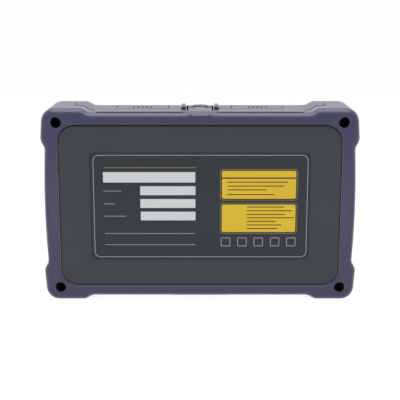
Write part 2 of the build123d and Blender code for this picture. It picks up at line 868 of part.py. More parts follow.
# Touch glass and its adhesive gasket
with BuildPart() as touch_glass:
    with BuildSketch(at_y(-panel_y + glass_thickness)):
        with Locations((glass_offset, 0)):
            RectangleRounded(glass_width, glass_height, glass_radius)
    extrude(amount=glass_thickness)
    chamfer(touch_glass.faces().sort_by(Axis.Y)[0].edges(), glass_edge)
save(touch_glass, "touch_glass")

with BuildPart() as glass_gasket:
    with BuildSketch(at_y(-panel_y + glass_thickness + glass_gasket_thickness)):
        with Locations((glass_offset, 0)):
            RectangleRounded(glass_width, glass_height, glass_radius)
            RectangleRounded(
                glass_width - 2 * glass_gasket_width,
                glass_height - 2 * glass_gasket_width,
                glass_radius - 0.5 * glass_gasket_width,
                mode=Mode.SUBTRACT,
            )
    extrude(amount=glass_gasket_thickness)
save(glass_gasket, "glass_gasket")

# Display module and the frame that clamps it
with BuildPart() as lcd_module:
    with BuildSketch(at_y(lcd_rear_y)):
        with Locations((glass_offset, 0)):
            Rectangle(lcd_width, lcd_height)
    extrude(amount=lcd_thickness)
save(lcd_module, "lcd_module")

with BuildPart() as lcd_frame:
    with BuildSketch(at_y(frame_rear_y)):
        with Locations((glass_offset, 0)):
            RectangleRounded(lcd_width + 2 * lcd_lug, lcd_height, lcd_frame_corner)
            Rectangle(
                lcd_width - 2 * lcd_frame_width,
                lcd_height - 2 * lcd_frame_width,
                mode=Mode.SUBTRACT,
            )
        with Locations(*lcd_places):
            Circle(small_screw_radius + hole_fit, mode=Mode.SUBTRACT)
    extrude(amount=lcd_frame_thickness)
save(lcd_frame, "lcd_frame")


def small_screws(places, seat_y, grip, shank_radius, head_radius, head_height, name):
    """Pan-head screws driven to the front, seated at one depth."""
    with BuildPart() as screws:
        with BuildSketch(at_y(seat_y + head_height)):
            with Locations(*places):
                Circle(head_radius)
        extrude(amount=head_height)
        with BuildSketch(at_y(seat_y)):
            with Locations(*places):
                Circle(shank_radius)
        extrude(amount=grip)
    save(screws, name)


small_screws(
    lcd_places,
    frame_rear_y,
    lcd_frame_thickness + small_screw_grip - small_screw_end_gap,
    small_screw_radius - small_screw_fit,
    small_screw_head,
    small_screw_head_height,
    "lcd_frame_screws",
)
small_screws(
    key_posts,
    key_board_rear,
    key_board_thickness + small_screw_grip - small_screw_end_gap,
    small_screw_radius - small_screw_fit,
    small_screw_head,
    small_screw_head_height,
    "key_board_screws",
)

# Key board with its switches
with BuildPart() as key_board:
    with BuildSketch(at_y(key_board_rear)):
        with Locations((key_column, 0)):
            Rectangle(key_board_width, key_board_height)
        with Locations(*key_posts):
            Circle(small_screw_radius + hole_fit, mode=Mode.SUBTRACT)
    extrude(amount=key_board_thickness)
save(key_board, "key_board")

with BuildPart() as key_switches:
    with BuildSketch(at_y(key_board_front)):
        with Locations(*stem_places.values()):
            Rectangle(switch_size, switch_size)
    extrude(amount=switch_height)
    with BuildSketch(at_y(key_board_front - switch_height)):
        with Locations(*stem_places.values()):
            Circle(plunger_radius)
    extrude(amount=plunger_height)
save(key_switches, "key_switches")

# Light pipes over two indicator lamps
with BuildPart() as light_pipes:
    with BuildSketch(at_y(key_board_front)):
        with Locations(*pipe_places):
            Circle(pipe_radius)
    extrude(amount=panel_y + key_board_front)
save(light_pipes, "light_pipes")


def key(name):
    flange_front = front_inner_y + moving_gap
    flange_rear = flange_front + key_flange_thickness
    with BuildPart() as cap:
        with BuildSketch(at_y(flange_rear)):
            add(key_outlines[name])
        extrude(amount=flange_rear + panel_y + key_proud)
        fillet(cap.faces().sort_by(Axis.Y)[0].edges(), key_edge)
        with BuildSketch(at_y(flange_rear)):
            add(key_flanges[name])
        extrude(amount=key_flange_thickness)
        with BuildSketch(at_y(flange_rear + key_stem_length)):
            with Locations(stem_places[name]):
                Circle(key_stem_radius)
        extrude(amount=key_stem_length)
    save(cap, name)


for name in key_outlines:
    key(name)

# Main board, its screws and what stands on it
with BuildPart() as main_board:
    with BuildSketch(at_y(main_board_rear)):
        with Locations((0, board_drop)):
            RectangleRounded(main_board_width, main_board_height, board_corner)
        with Locations(*board_places):
            Circle(board_screw_radius + hole_fit, mode=Mode.SUBTRACT)
    extrude(amount=main_board_thickness)
save(main_board, "main_board")

with BuildPart() as board_screws:
    with BuildSketch(at_y(main_board_front)):
        with Locations(*board_places):
            Circle(board_screw_head)
    extrude(amount=board_screw_head_height)
    with BuildSketch(at_y(main_board_front)):
        with Locations(*board_places):
            Circle(board_screw_radius - small_screw_fit)
    extrude(amount=-main_board_thickness - board_screw_grip + board_screw_end_gap)
save(board_screws, "board_screws")

with BuildPart() as shield_cans:
    with BuildSketch(at_y(main_board_front)):
        with Locations((engine_x, engine_level - middle_z)):
            RectangleRounded(0.75 * engine_width, 0.7 * engine_height, can_corner)
        with Locations((spool_x, spool_level - middle_z)):
            RectangleRounded(1.4 * spool_radius, 1.4 * spool_radius, can_corner)
    extrude(amount=can_height)
save(shield_cans, "shield_cans")

with BuildPart() as optical_engine:
    with BuildSketch(at_y(main_board_rear + engine_depth)):
        with Locations((engine_x, engine_level - middle_z)):
            RectangleRounded(engine_width, engine_height, engine_corner)
    extrude(amount=engine_depth)
    chamfer(optical_engine.faces().sort_by(Axis.Y)[-1].edges(), engine_edge)
save(optical_engine, "optical_engine")

# Spool with the coil of launch fibre wound on it
with BuildPart() as fibre_spool:
    with BuildSketch(at_y(main_board_rear + spool_depth)):
        with Locations((spool_x, spool_level - middle_z)):
            Circle(spool_radius)
    extrude(amount=spool_flange)
    with BuildSketch(at_y(main_board_rear + spool_flange)):
        with Locations((spool_x, spool_level - middle_z)):
            Circle(spool_radius)
    extrude(amount=spool_flange)
    with BuildSketch(at_y(main_board_rear + spool_depth)):
        with Locations((spool_x, spool_level - middle_z)):
            Circle(spool_hub)
    extrude(amount=spool_depth)
    with BuildSketch(at_y(main_board_rear + spool_depth)):
        with Locations((spool_x, spool_level - middle_z)):
            Circle(0.75 * spool_hub)
    extrude(amount=spool_depth, mode=Mode.SUBTRACT)
save(fibre_spool, "fibre_spool")

with BuildPart() as fibre_coil:
    with BuildSketch(at_y(main_board_rear + spool_depth - spool_flange)):
        with Locations((spool_x, spool_level - middle_z)):
            Circle(spool_radius - coil_gap)
            Circle(spool_hub, mode=Mode.SUBTRACT)
    extrude(amount=spool_depth - 2 * spool_flange)
save(fibre_coil, "fibre_coil")

with BuildPart() as buzzer:
    with BuildSketch(at_y(main_board_rear + buzzer_height)):
        with Locations((spool_x, board_drop - 0.28 * main_board_height)):
            Circle(buzzer_radius)
    extrude(amount=buzzer_height)
    with BuildSketch(at_y(main_board_rear + buzzer_height)):
        with Locations((spool_x, board_drop - 0.28 * main_board_height)):
            Circle(buzzer_mouth)
    extrude(amount=buzzer_height / 4, mode=Mode.SUBTRACT)
save(buzzer, "buzzer")

# Flat cable that folds back from the display to the main board
flex_low = 0.5 * view_height
with BuildPart() as display_flex:
    with BuildSketch(Plane.YZ.offset(glass_offset - flex_width / 2)):
        with Locations(((lcd_rear_y + main_board_front) / 2, middle_z - 0.7 * flex_low)):
            Rectangle(main_board_front - lcd_rear_y, flex_height)
        with Locations(((lcd_rear_y + main_board_front) / 2, middle_z - 0.7 * flex_low + flex_thickness)):
            Rectangle(main_board_front - lcd_rear_y - 2 * flex_thickness, flex_height, mode=Mode.SUBTRACT)
    extrude(amount=flex_width)
save(display_flex, "display_flex")

# Battery against the rear wall, on a foam pad
with BuildPart() as battery_pad:
    with BuildSketch(at_y(rear_inner_y)):
        with Locations((0, battery_level - middle_z)):
            Rectangle(0.8 * battery_width, 0.8 * battery_height)
    extrude(amount=pad_thickness)
save(battery_pad, "battery_pad")

with BuildPart() as battery_pack:
    with BuildSketch(at_y(rear_inner_y - pad_thickness)):
        with Locations((0, battery_level - middle_z)):
            RectangleRounded(battery_width, battery_height, battery_corner)
    extrude(amount=battery_thickness)
    fillet(battery_pack.faces().sort_by(Axis.Y)[0].edges(), battery_edge)
save(battery_pack, "battery_pack")

# Plates at the floor of the bays
optical_places = [(-bay_middle + step * optical_port_pitch, 0) for step in (-1, 0, 1)]
usb_c_place = (bay_middle - 0.22 * bay_length, 0)
usb_a_place = (bay_middle + 0.22 * bay_length, 0)
plate_length = bay_length + bay_wall - 2 * seat_fit
plate_width = 2 * bay_half_width + bay_wall - 2 * seat_fit

with BuildPart() as optical_plate:
    with BuildSketch(Plane.XY.offset(bay_floor_z - plate_thickness)):
        with Locations((-bay_middle, 0)):
            Rectangle(plate_length, plate_width)
        with Locations(*optical_places):
            Circle(barrel_radius, mode=Mode.SUBTRACT)
    extrude(amount=plate_thickness)
save(optical_plate, "optical_port_plate")

with BuildPart() as data_plate:
    with BuildSketch(Plane.XY.offset(bay_floor_z - plate_thickness)):
        with Locations((bay_middle, 0)):
            Rectangle(plate_length, plate_width)
        with Locations(usb_a_place):
            RectangleRounded(
                usb_a_width + 2 * hole_fit,
                usb_a_height + 2 * hole_fit,
                usb_a_corner,
                mode=Mode.SUBTRACT,
            )
        with Locations(usb_c_place):
            SlotOverall(usb_c_width + 2 * hole_fit, usb_c_height + 2 * hole_fit, mode=Mode.SUBTRACT)
    extrude(amount=plate_thickness)
save(data_plate, "data_port_plate")


def optical_port(place, name):
    """Threaded barrel port with a flange on the plate and a keyed mouth."""
    tail_radius = barrel_radius - hole_fit
    with BuildPart() as port:
        with BuildSketch(Plane.XY.offset(bay_floor_z - plate_thickness - port_tail)):
            with Locations(place):
                Circle(tail_radius)
        extrude(amount=plate_thickness + port_tail)
        with BuildSketch(Plane.XY.offset(bay_floor_z)):
            with Locations(place):
                Circle(port_flange_radius)
        extrude(amount=port_flange_height)
        with BuildSketch(Plane.XY.offset(bay_floor_z)):
            with Locations(place):
                Circle(barrel_radius)
        extrude(amount=barrel_rise)
        chamfer(port.faces().sort_by(Axis.Z)[-1].edges(), barrel_edge)
        with BuildSketch(Plane.XY.offset(bay_floor_z + barrel_rise - port_mouth_depth)):
            with Locations(place):
                Circle(port_mouth_radius)
        extrude(amount=port_mouth_depth, mode=Mode.SUBTRACT)
        with BuildSketch(Plane.XY.offset(bay_floor_z - plate_thickness - port_tail + sleeve_floor)):
            with Locations(place):
                Circle(sleeve_outer)
        extrude(amount=port_tail + barrel_rise, mode=Mode.SUBTRACT)
        with BuildSketch(Plane.XY.offset(bay_floor_z + barrel_rise - 0.7 * port_mouth_depth)):
            with Locations((place[0], place[1] + barrel_radius)):
                Rectangle(key_slot_width, barrel_radius)
        extrude(amount=port_mouth_depth, mode=Mode.SUBTRACT)
    save(port, name)


optical_port(optical_places[0], "power_meter_port")
optical_port(optical_places[1], "reflectometer_port")
optical_port(optical_places[2], "fault_locator_port")

# Ceramic sleeves that line the optical ports
with BuildPart() as port_sleeves:
    with BuildSketch(Plane.XY.offset(bay_floor_z - plate_thickness - port_tail + sleeve_floor)):
        with Locations(*optical_places):
            Circle(sleeve_outer)
            Circle(ferrule_radius, mode=Mode.SUBTRACT)
    extrude(amount=plate_thickness + port_tail + barrel_rise - 2 * sleeve_floor)
save(port_sleeves, "port_sleeves")

# Data sockets: metal skins round a contact tongue
with BuildPart() as usb_a_socket:
    with BuildSketch(Plane.XY.offset(bay_floor_z - usb_length)):
        with Locations(usb_a_place):
            RectangleRounded(usb_a_width, usb_a_height, usb_a_corner)
    extrude(amount=usb_length)
    with BuildSketch(Plane.XY.offset(bay_floor_z - usb_length + usb_floor)):
        with Locations(usb_a_place):
            RectangleRounded(usb_a_width - 2 * usb_skin, usb_a_height - 2 * usb_skin, usb_a_corner / 2)
    extrude(amount=usb_length, mode=Mode.SUBTRACT)
    with BuildSketch(Plane.XY.offset(bay_floor_z - usb_length + usb_floor / 2)):
        with Locations((usb_a_place[0], 0.2 * usb_a_height)):
            Rectangle(usb_a_width - 2 * usb_tongue_side, usb_a_tongue)
    extrude(amount=usb_length - 2 * usb_floor)
save(usb_a_socket, "usb_a_socket")

with BuildPart() as usb_c_socket:
    with BuildSketch(Plane.XY.offset(bay_floor_z - usb_length)):
        with Locations(usb_c_place):
            SlotOverall(usb_c_width, usb_c_height)
    extrude(amount=usb_length)
    with BuildSketch(Plane.XY.offset(bay_floor_z - usb_length + usb_floor)):
        with Locations(usb_c_place):
            SlotOverall(usb_c_width - 2 * usb_skin, usb_c_height - 2 * usb_skin)
    extrude(amount=usb_length, mode=Mode.SUBTRACT)
    with BuildSketch(Plane.XY.offset(bay_floor_z - usb_length + usb_floor / 2)):
        with Locations(usb_c_place):
            Rectangle(usb_c_width - 2 * usb_tongue_side, usb_c_tongue)
    extrude(amount=usb_length - 1.5 * usb_floor)
save(usb_c_socket, "usb_c_socket")

# Torch: notched bezel, domed lens, board with its lamp
lens_base_z = torch_top_z - torch_notch_depth - lens_thickness - lens_drop
notch_turn = 180 / torch_notch_count
with BuildPart() as torch_bezel:
    with BuildSketch(Plane.XY.offset(torch_base_z)):
        Circle(torch_flange_radius)
    extrude(amount=torch_flange_height)
    with BuildSketch(Plane.XY.offset(torch_base_z)):
        Circle(torch_radius)
    extrude(amount=torch_length)
    chamfer(torch_bezel.faces().sort_by(Axis.Z)[-1].edges(), torch_edge)
    with BuildSketch(Plane.XY.offset(torch_base_z)):
        Circle(torch_opening - torch_lip)
    extrude(amount=torch_length, mode=Mode.SUBTRACT)
    with BuildSketch(Plane.XY.offset(lens_base_z)):
        Circle(torch_opening)
    extrude(amount=torch_length, mode=Mode.SUBTRACT)
    with BuildSketch(Plane.XY.offset(torch_top_z - torch_notch_depth)):
        with PolarLocations(0.5 * (torch_opening + torch_radius), torch_notch_count, start_angle=notch_turn):
            Rectangle(2 * (torch_radius - torch_opening), torch_notch_width)
    extrude(amount=2 * torch_notch_depth, mode=Mode.SUBTRACT)
save(torch_bezel, "torch_bezel")

with BuildPart() as torch_lens:
    with BuildSketch(Plane.XY.offset(lens_base_z)):
        Circle(torch_opening - thread_fit)
    extrude(amount=lens_thickness)
    fillet(torch_lens.faces().sort_by(Axis.Z)[-1].edges(), lens_dome)
save(torch_lens, "torch_lens")

with BuildPart() as torch_board:
    with BuildSketch(Plane.XY.offset(torch_base_z - torch_board_thickness)):
        Circle(torch_board_radius)
    extrude(amount=torch_board_thickness)
    with BuildSketch(Plane.XY.offset(torch_base_z)):
        Rectangle(led_size, led_size)
    extrude(amount=led_height)
save(torch_board, "torch_board")
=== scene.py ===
# %% [markdown]
# A hand-held fibre tester, seen from behind: a rubber boot round a hard case, two rubber covers over the
# ports on the top side, a torch between them, and a printed plate on the back. The solids come from CAD and
# stay where they are. This lesson gives each of them a surface and adds what is too fine for a solid model.

# %% Load the frame
import json
import math
import bmesh
import bpy
from mathutils import Matrix, Vector


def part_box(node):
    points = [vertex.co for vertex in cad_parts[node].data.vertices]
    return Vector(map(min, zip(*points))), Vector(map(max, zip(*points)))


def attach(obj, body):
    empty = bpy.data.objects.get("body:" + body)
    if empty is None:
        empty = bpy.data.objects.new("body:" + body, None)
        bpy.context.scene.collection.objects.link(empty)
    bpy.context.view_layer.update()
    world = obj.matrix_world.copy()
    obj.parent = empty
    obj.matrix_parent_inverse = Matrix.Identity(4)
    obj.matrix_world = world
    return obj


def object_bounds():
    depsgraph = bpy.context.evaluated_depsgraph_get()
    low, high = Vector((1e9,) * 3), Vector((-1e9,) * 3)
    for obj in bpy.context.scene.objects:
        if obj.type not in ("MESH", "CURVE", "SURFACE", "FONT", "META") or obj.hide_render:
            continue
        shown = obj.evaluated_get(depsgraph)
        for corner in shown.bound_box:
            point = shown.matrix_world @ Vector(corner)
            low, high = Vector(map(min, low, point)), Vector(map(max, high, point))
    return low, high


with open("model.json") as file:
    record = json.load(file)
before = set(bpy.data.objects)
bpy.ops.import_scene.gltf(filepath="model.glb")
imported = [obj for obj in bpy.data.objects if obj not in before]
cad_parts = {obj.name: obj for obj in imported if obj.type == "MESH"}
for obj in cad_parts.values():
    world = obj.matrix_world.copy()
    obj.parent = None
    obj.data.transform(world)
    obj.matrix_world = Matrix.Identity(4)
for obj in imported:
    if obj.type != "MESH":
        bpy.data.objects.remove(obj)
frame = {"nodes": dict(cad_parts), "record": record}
nodes = frame["nodes"]
cad_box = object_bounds()
print("frame:", len(nodes), "nodes, box", [list(corner) for corner in cad_box])

# %% [markdown]
# Shading is easier to read as sums than as boxes and noodles. A small class can hold a socket and answer to
# the usual signs, so that `1 - mask` adds a Math node. Every other node comes from one method, which sets
# the node's settings first and then feeds its sockets with numbers or with other wires.

# %% A wire that can be used in sums
class Wire:
    def __init__(self, tree, socket=None):
        self.tree = tree
        self.socket = socket

    def feed(self, socket, value):
        if isinstance(value, Wire):
            self.tree.links.new(value.socket, socket)
        else:
            socket.default_value = value

    def node(self, kind, settings, values, out=0):
        made = self.tree.nodes.new(kind)
        for name, value in settings.items():
            setattr(made, name, value)
        for name, value in values.items():
            self.feed(made.inputs[name], value)
        return Wire(self.tree, made.outputs[out])

    def maths(self, operation, first, second):
        return self.node("ShaderNodeMath", {"operation": operation}, {0: first, 1: second})

    def __add__(self, other):
        return self.maths("ADD", self, other)

    def __sub__(self, other):
        return self.maths("SUBTRACT", self, other)

    def __mul__(self, other):
        return self.maths("MULTIPLY", self, other)

    def __rsub__(self, other):
        return self.maths("SUBTRACT", other, self)

    def __abs__(self):
        return self.maths("ABSOLUTE", self, 0.0)

    __radd__ = __add__
    __rmul__ = __mul__


print("a wire answers to + - * and abs()")

# %% [markdown]
# A few short helpers come back in every finish: a colour written as on a screen, a new material that is kept
# under its name, a noise, a soft step between two values, and a mix of two colours by a mask. Colours go
# through a Mix node, because a Math node would turn them grey.

# %% Helpers for finishes
finishes = {}


def screen(red, green, blue):
    """A colour from screen values of 0 to 255, as the linear numbers that shaders use."""
    parts = [value / 255 for value in (red, green, blue)]
    linear = [p / 12.92 if p <= 0.04045 else ((p + 0.055) / 1.055) ** 2.4 for p in parts]
    return (*linear, 1.0)


def shade(colour, factor):
    return (*[min(1.0, value * factor) for value in colour[:3]], 1.0)


def start(name):
    made = bpy.data.materials.new(name)
    made.use_nodes = True
    finishes[name] = made
    return Wire(made.node_tree), made.node_tree.nodes["Principled BSDF"].inputs


def place_of(wire, stretch=(1.0, 1.0, 1.0)):
    here = wire.node("ShaderNodeTexCoord", {}, {}, "Object")
    return wire.node("ShaderNodeMapping", {}, {"Vector": here, "Scale": stretch})


def noise(wire, place, scale, detail=3.0):
    return wire.node("ShaderNodeTexNoise", {}, {"Vector": place, "Scale": scale, "Detail": detail})


def step(wire, value, low, high):
    ends = {"Value": value, "From Min": low, "From Max": high}
    return wire.node("ShaderNodeMapRange", {"interpolation_type": "SMOOTHSTEP"}, ends)


def mix(wire, mask, first, second):
    return wire.node("ShaderNodeMix", {"data_type": "RGBA"}, {0: mask, 6: first, 7: second}, 2)


def bump(wire, sockets, height, strength, depth):
    lifted = wire.node("ShaderNodeBump", {}, {"Height": height, "Strength": strength, "Distance": depth})
    wire.feed(sockets["Normal"], lifted)


print("mid grey, 128 on a screen, is", round(screen(128, 128, 128)[0], 3), "to a shader")

# %% [markdown]
# Most of the object is moulded: rubber, case plastic, keys. A moulded surface is never one flat colour: the
# tool leaves a fine spark grain, the pigment drifts a little, and handling scuffs some places. Painted
# textures could show that too, but noise in object coordinates needs no unwrapping and stays sharp from any
# distance. The soft-touch rubber of the boot also gets a sheen and a thin coat, which turn it pale where it
# is seen at a low angle, as on its top side here.

# %% Moulded finishes
sheen_tint = (0.94, 0.90, 1.0, 1.0)


def moulded(name, colour, roughness, grain, depth, drift=0.10, gloss=0.5, sheen=0.0, coat=0.0, scuff=0.0):
    wire, sockets = start(name)
    place = place_of(wire)
    cloud = noise(wire, place, 26.0, 4.0)
    speck = noise(wire, place, grain, 2.0)
    tone = step(wire, cloud * 0.6 + speck * 0.4, 0.3, 0.7)
    colour_now = mix(wire, tone, shade(colour, 1 - drift), shade(colour, 1 + drift))
    if scuff:
        worn = step(wire, noise(wire, place, 75.0, 8.0), 0.60, 0.74) * scuff
        colour_now = mix(wire, worn, colour_now, shade(colour, 1.7))
    wire.feed(sockets["Base Color"], colour_now)
    wire.feed(sockets["Roughness"], roughness - 0.05 + cloud * 0.10)
    bump(wire, sockets, speck, 0.35, depth)
    sockets["Specular IOR Level"].default_value = gloss
    sockets["Sheen Weight"].default_value = sheen
    sockets["Sheen Roughness"].default_value = 0.35
    sockets["Sheen Tint"].default_value = sheen_tint
    sockets["Coat Weight"].default_value = coat
    sockets["Coat Roughness"].default_value = 0.32


moulded(
    "boot_rubber", screen(52, 50, 84), 0.45, 1500.0, 6e-5,
    drift=0.06, gloss=0.2, sheen=1.0, coat=0.5, scuff=0.12,
)
moulded("case_plastic", screen(58, 61, 65), 0.52, 2600.0, 7e-5, drift=0.08, gloss=0.25)
moulded("front_plastic", screen(58, 59, 63), 0.50, 2600.0, 7e-5, drift=0.08, gloss=0.35)
moulded("seal_rubber", screen(30, 30, 32), 0.62, 1200.0, 5e-5)
moulded("key_plastic", screen(104, 106, 112), 0.46, 2200.0, 4e-5, drift=0.06)
moulded("power_key", screen(176, 52, 44), 0.44, 2200.0, 4e-5, drift=0.06)
moulded("ok_key", screen(98, 94, 128), 0.44, 2200.0, 4e-5, drift=0.06)
moulded("spool_plastic", screen(228, 228, 222), 0.40, 1800.0, 3e-5, drift=0.03)
moulded("battery_film", screen(62, 74, 102), 0.30, 300.0, 1.5e-4, drift=0.08)
moulded("bezel_plastic", screen(112, 112, 126), 0.38, 2200.0, 4e-5, drift=0.05, sheen=0.5)
moulded("foam", screen(54, 54, 54), 0.92, 2400.0, 3e-4, drift=0.25, gloss=0.1)
print("moulded finishes:", ", ".join(finishes))

# %% [markdown]
# Metals are told apart by the marks that the tool leaves. Turned and drawn parts have fine lines along one
# direction. An anisotropic shader could suggest them, but a noise stretched along that direction shows the
# lines themselves: they vary the roughness and lift the surface very slightly.

# %% Metal finishes
turned = (300.0, 300.0, 9000.0)
drawn = (9000.0, 300.0, 300.0)


def metal(name, colour, roughness, stretch, depth):
    wire, sockets = start(name)
    lines = noise(wire, place_of(wire, stretch), 1.0, 3.0)
    stain = noise(wire, place_of(wire), 60.0, 4.0)
    wire.feed(sockets["Base Color"], mix(wire, stain, shade(colour, 0.85), shade(colour, 1.1)))
    wire.feed(sockets["Roughness"], roughness - 0.08 + lines * 0.16)
    bump(wire, sockets, lines, 0.25, depth)
    sockets["Metallic"].default_value = 1.0


metal("dark_steel", screen(36, 36, 40), 0.42, turned, 1e-5)
metal("bright_steel", screen(200, 202, 204), 0.28, drawn, 1e-5)
metal("brass", screen(205, 172, 104), 0.32, turned, 1e-5)
metal("nickel", screen(206, 206, 202), 0.26, turned, 1e-5)
metal("can_metal", screen(190, 192, 194), 0.36, drawn, 1e-5)
metal("engine_metal", screen(84, 85, 88), 0.46, drawn, 2e-5)
metal("contact_gold", screen(226, 184, 96), 0.22, turned, 5e-6)
metal("mirror_coat", screen(232, 234, 236), 0.10, turned, 3e-6)
print("finishes so far:", len(finishes))

# %% [markdown]
# The printed plate is a satin film. Its surface has a faint drawn line across, and the ink on it lies a few
# hundredths of a millimetre proud. The inks could be masks in the film's own material, but then their edges
# would be lost in the meshes, so they are pieces. Each ink shares the film's gloss, so that print and plate
# read as one.

# %% Film and inks
def film(name, colour, roughness, drift):
    wire, sockets = start(name)
    fibre = noise(wire, place_of(wire, (60.0, 60.0, 5200.0)), 1.0, 3.0)
    cloud = noise(wire, place_of(wire), 34.0, 4.0)
    tone = step(wire, cloud * 0.5 + fibre * 0.5, 0.3, 0.7)
    wire.feed(sockets["Base Color"], mix(wire, tone, shade(colour, 1 - drift), shade(colour, 1 + drift)))
    wire.feed(sockets["Roughness"], roughness - 0.05 + cloud * 0.10)
    bump(wire, sockets, fibre, 0.15, 1.5e-5)
    sockets["Specular IOR Level"].default_value = 0.25


film("label_film", screen(39, 44, 52), 0.42, 0.06)
film("ink_white", screen(211, 214, 215), 0.45, 0.02)
film("ink_yellow", screen(222, 186, 46), 0.45, 0.03)
film("ink_gold", screen(140, 122, 70), 0.45, 0.04)
film("ink_silver", screen(150, 154, 158), 0.40, 0.04)
film("ink_dark", screen(70, 58, 26), 0.45, 0.04)
film("key_ink", screen(232, 233, 235), 0.45, 0.02)
print("finishes so far:", len(finishes))

# %% [markdown]
# The display is off, so the front glass is a dark mirror: a black printed border, and inside it the display's
# own slightly lighter grey. Clear glass over a black box would do it too, but costs light bounces for a
# surface that nobody sees through. Here the step between border and display follows from where a point lies
# on the glass. Finger marks only change the roughness.

# %% Front glass
glass_border_x = 0.005
glass_border_z = 0.007
edge_blur = 1e-4


def within(wire, value, middle, reach):
    """A mask that is 1 where a value lies within reach of the middle."""
    return 1 - step(wire, abs(value - middle), reach - edge_blur, reach + edge_blur)


def front_glass(name):
    wire, sockets = start(name)
    low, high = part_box("touch_glass")
    middle = (Vector(low) + Vector(high)) / 2
    here = wire.node("ShaderNodeTexCoord", {}, {}, "Object")
    across = wire.node("ShaderNodeSeparateXYZ", {}, {"Vector": here}, "X")
    upward = wire.node("ShaderNodeSeparateXYZ", {}, {"Vector": here}, "Z")
    inside_x = within(wire, across, middle[0], (high[0] - low[0]) / 2 - glass_border_x)
    inside_z = within(wire, upward, middle[2], (high[2] - low[2]) / 2 - glass_border_z)
    tint = mix(wire, inside_x * inside_z, screen(10, 10, 12), screen(30, 33, 38))
    smear = step(wire, noise(wire, place_of(wire), 45.0, 5.0), 0.5, 0.75)
    wire.feed(sockets["Base Color"], tint)
    wire.feed(sockets["Roughness"], 0.05 + smear * 0.08)
    sockets["Coat Weight"].default_value = 0.5
    sockets["Coat Roughness"].default_value = 0.03


front_glass("cover_glass")
print("finishes so far:", len(finishes))

# %% [markdown]
# The torch lens and the light pipes of the indicator lamps are clear plastic with a slight haze, which keeps
# them from looking like empty holes. What lies behind them is moulded or fired smooth, so the moulded finish
# serves again, with a finer grain.

# %% Clear parts and what shows through them
def clear(name, colour, roughness, transmission):
    wire, sockets = start(name)
    haze = noise(wire, place_of(wire), 240.0, 4.0)
    wire.feed(sockets["Base Color"], mix(wire, haze, colour, shade(colour, 0.93)))
    wire.feed(sockets["Roughness"], roughness + haze * 0.04)
    sockets["Transmission Weight"].default_value = transmission
    sockets["IOR"].default_value = 1.49


clear("lens_glass", screen(240, 244, 248), 0.22, 0.75)
clear("pipe_clear", screen(214, 218, 214), 0.30, 0.6)
moulded("display", screen(34, 36, 40), 0.12, 900.0, 5e-6)
moulded("ceramic", screen(240, 238, 230), 0.16, 900.0, 3e-6, drift=0.02)
moulded("led_lamp", screen(236, 206, 92), 0.30, 2600.0, 2e-5, drift=0.05)
print("finishes so far:", len(finishes))

# %% [markdown]
# Boards, flat cable and fibre stay inside the case. They still get the marks that name them: lanes under the
# lacquer of a board, conductors along the flat cable, and the turns of the coil. Modelled lanes would cost
# thousands of faces that nobody sees, so a banded wave stands for them.

# %% Boards, cable and fibre
def striped(name, dark, light, roughness, axis, scale, wobble):
    wire, sockets = start(name)
    settings = {"wave_type": "BANDS", "bands_direction": axis}
    values = {"Vector": place_of(wire), "Scale": scale, "Distortion": wobble, "Detail": 2.0}
    lanes = step(wire, wire.node("ShaderNodeTexWave", settings, values), 0.45, 0.60)
    wire.feed(sockets["Base Color"], mix(wire, lanes, dark, light))
    wire.feed(sockets["Roughness"], roughness + lanes * 0.1)
    bump(wire, sockets, lanes, 0.4, 3e-5)


striped("board_green", screen(20, 84, 52), screen(34, 112, 70), 0.28, "DIAGONAL", 130.0, 9.0)
striped("flex_film", screen(168, 104, 34), screen(206, 140, 60), 0.25, "X", 520.0, 0.0)
striped("fibre", screen(204, 160, 30), screen(244, 208, 70), 0.30, "Y", 640.0, 0.5)
print("finishes:", len(finishes))

# %% [markdown]
# The record says which finish each CAD node takes. Assigning to the node's own material slots changes its
# look and leaves its mesh alone.

# %% Dress the CAD nodes
slot_of = {part["node"]: part["material_slot"] for part in frame["record"]["subparts"]}
for name, thing in nodes.items():
    slots = thing.data.materials
    wanted = finishes[slot_of[name]]
    if len(slots) == 0:
        slots.append(wanted)
    for index in range(len(slots)):
        slots[index] = wanted
print("dressed:", ", ".join(sorted(set(slot_of.values()))))

# %% [markdown]
# New pieces are made in a bmesh and end as objects at the origin, with their place in the mesh. A helper
# closes the mesh, turns its faces outwards, gives it a finish and lets it ride on a body of the frame, so
# that it moves when a joint does.

# %% From bmesh to piece
def piece(name, shape, finish, body, smooth=False):
    bmesh.ops.remove_doubles(shape, verts=shape.verts, dist=1e-7)
    bmesh.ops.recalc_face_normals(shape, faces=shape.faces)
    mesh = bpy.data.meshes.new(name)
    shape.to_mesh(mesh)
    shape.free()
    made = bpy.data.objects.new(name, mesh)
    bpy.context.collection.objects.link(made)
    mesh.materials.append(finishes[finish])
    for polygon in mesh.polygons:
        polygon.use_smooth = smooth
    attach(made, body)
    print(name, "faces", len(mesh.polygons))


# %% [markdown]
# Ink is a thin plate. A rectangle starts as a grid of one face, its corners are rounded by a bevel of its
# vertices, and solidify gives it a thickness. A line frame is the same face inset once, without its middle.
# Curves with a bevel could draw the lines too, but would end round. All of this happens upright, in the
# plane of the case's back and front.

# %% Printed shapes
def upright(x, z):
    return Matrix.Translation((x, 0.0, z)) @ Matrix.Rotation(math.radians(90), 4, "X")


def plate(shape, width, height, radius, x, z):
    before = set(shape.faces)
    size = upright(x, z) @ Matrix.Diagonal((width, height, 1.0, 1.0))
    corners = bmesh.ops.create_grid(shape, x_segments=1, y_segments=1, size=0.5, matrix=size)["verts"]
    if radius:
        bmesh.ops.bevel(
            shape, geom=corners, offset=radius, affect="VERTICES", segments=5, profile=0.5, material=-1,
        )
    return [face for face in shape.faces if face not in before]


def outline(shape, faces, line):
    bmesh.ops.inset_region(shape, faces=faces, thickness=line, use_boundary=True, use_even_offset=True)
    bmesh.ops.delete(shape, geom=faces, context="FACES")


